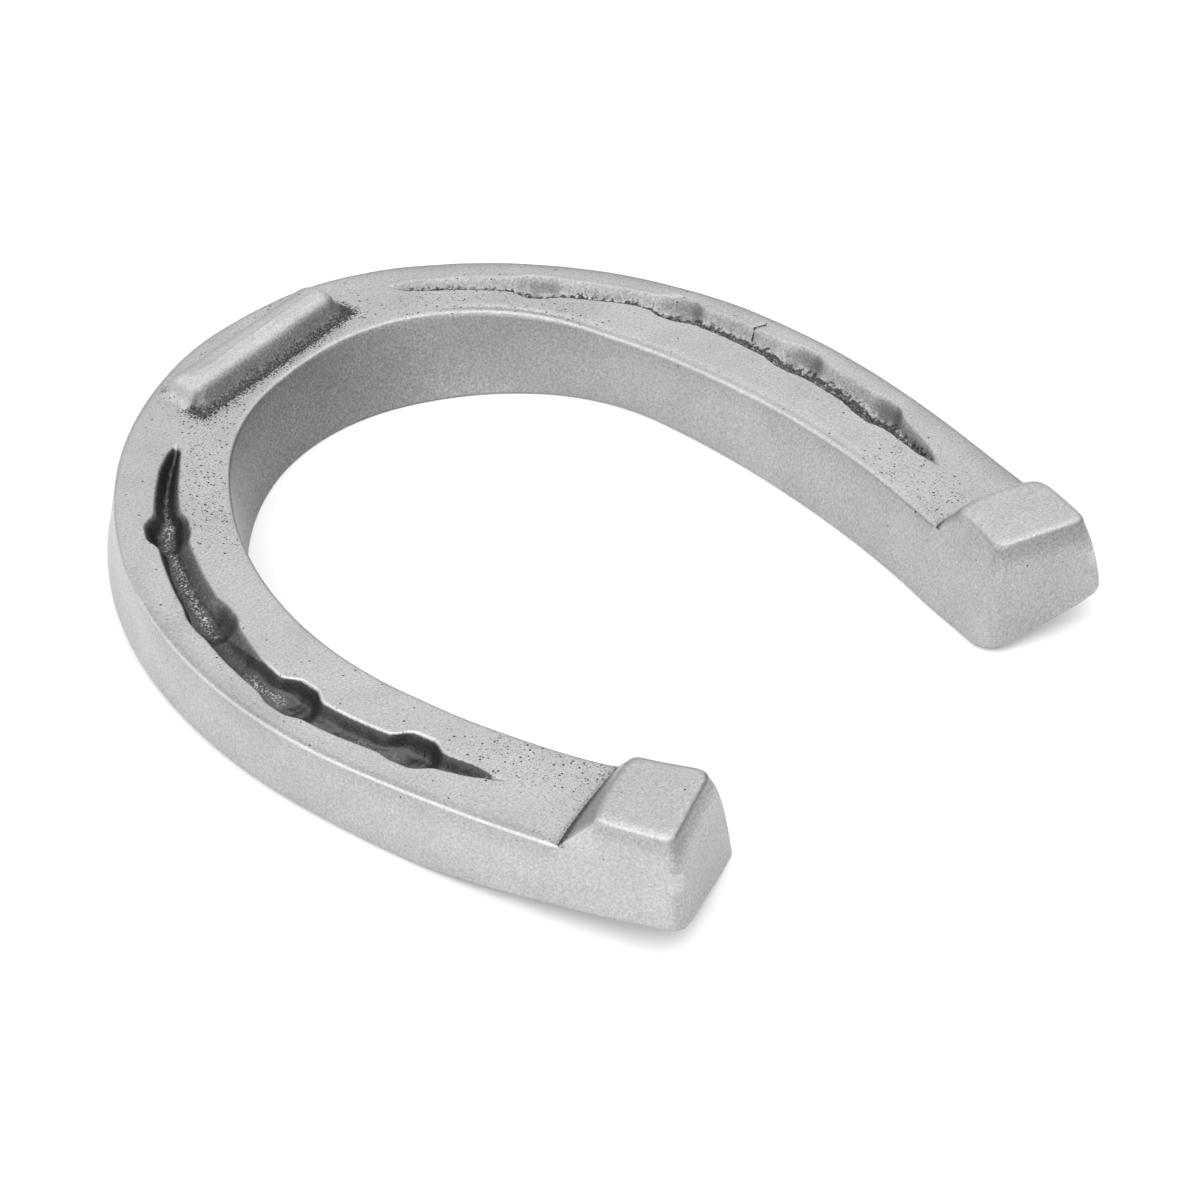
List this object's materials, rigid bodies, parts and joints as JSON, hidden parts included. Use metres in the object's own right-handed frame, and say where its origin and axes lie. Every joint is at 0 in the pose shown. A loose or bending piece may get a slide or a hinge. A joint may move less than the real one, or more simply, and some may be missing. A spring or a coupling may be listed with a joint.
{
  "type": "horseshoe",
  "caption": "Fullered metal horseshoe with blind nail seats, a toe calk bar and raised heel calks; it lies on its hoof side with the ground side up.",
  "frame": {"origin": "middle of the shoe's plan outline, on the plane of its flat hoof side", "axes": "+Z from the hoof side to the ground side, +Y towards the toe, heels at -Y, +X towards the right branch as seen from the ground side with the toe away"},
  "size_m": [0.1332, 0.1493, 0.0192],
  "materials": {
    "cast_shoe": "satin cast, dark patina in the fullers",
    "calk": "satin cast, worn brighter on its edges"
  },
  "bodies": {
    "root": {"shoe_bar": "cast_shoe", "toe_calk": "calk", "heel_calk_left": "calk", "heel_calk_right": "calk"}
  },
  "joints": []
}
